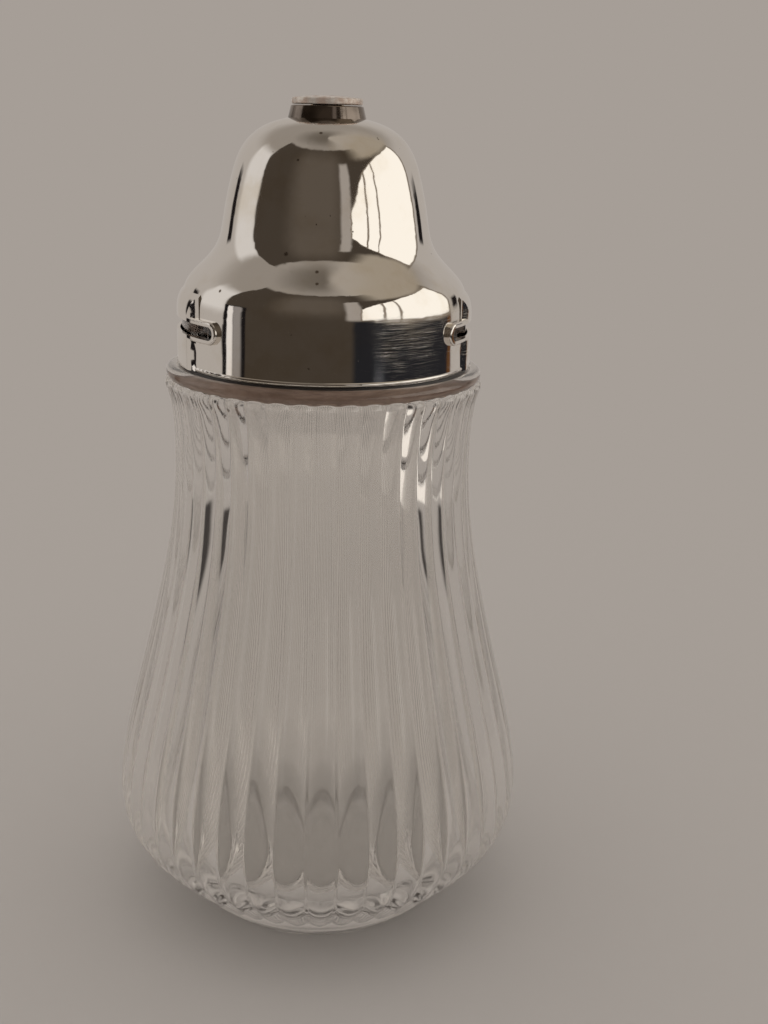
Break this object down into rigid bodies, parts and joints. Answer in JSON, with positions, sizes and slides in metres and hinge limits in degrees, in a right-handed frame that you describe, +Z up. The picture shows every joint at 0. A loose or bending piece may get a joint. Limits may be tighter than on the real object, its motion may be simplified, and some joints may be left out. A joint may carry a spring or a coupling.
{
  "type": "sugar dispenser with flap",
  "caption": "Reeded glass sugar dispenser with a plated bayonet lid, a short spout collar on its dome and a gravity flap that closes the spout.",
  "frame": {"origin": "centre of the base ring, on the face that the jar stands on", "axes": "+Z up along the jar's axis, front at -Y, the flap's hinge at the back at +Y, +X to the right seen from the front"},
  "size_m": [0.0808, 0.0808, 0.1585],
  "materials": {
    "clear_glass": "pressed clear glass, fire polished, faintly grey",
    "brown_rubber": "aged brown natural rubber",
    "silver_plate": "polished silver plate on brass, warm, with fine wear scratches",
    "silver_plate_worn": "silver plate worn thin at the edge, pinkish",
    "hinge_brass": "plain brass wire"
  },
  "bodies": {
    "jar": {"glass_jar": "clear_glass"},
    "seal": {"seal_ring": "brown_rubber"},
    "lid": {"lid_shell": "silver_plate", "spout_collar": "silver_plate", "hinge_bracket": "silver_plate", "hinge_pin": "hinge_brass"},
    "flap": {"flap_disc": "silver_plate_worn", "flap_knuckle": "silver_plate"}
  },
  "joints": [
    {"name": "lid_turn", "type": "hinge", "parent": "jar", "child": "seal", "pos_m": [0, 0, 0.1107], "axis": [0, 0, 1], "range_deg": [-19, 19]},
    {"name": "lid_lift", "type": "slide", "parent": "seal", "child": "lid", "axis": [0, 0, 1], "range_m": [0, 0.06]},
    {"name": "flap_hinge", "type": "hinge", "parent": "lid", "child": "flap", "pos_m": [0, 0.0087, 0.1562], "axis": [-1, 0, 0], "range_deg": [0, 85]}
  ]
}
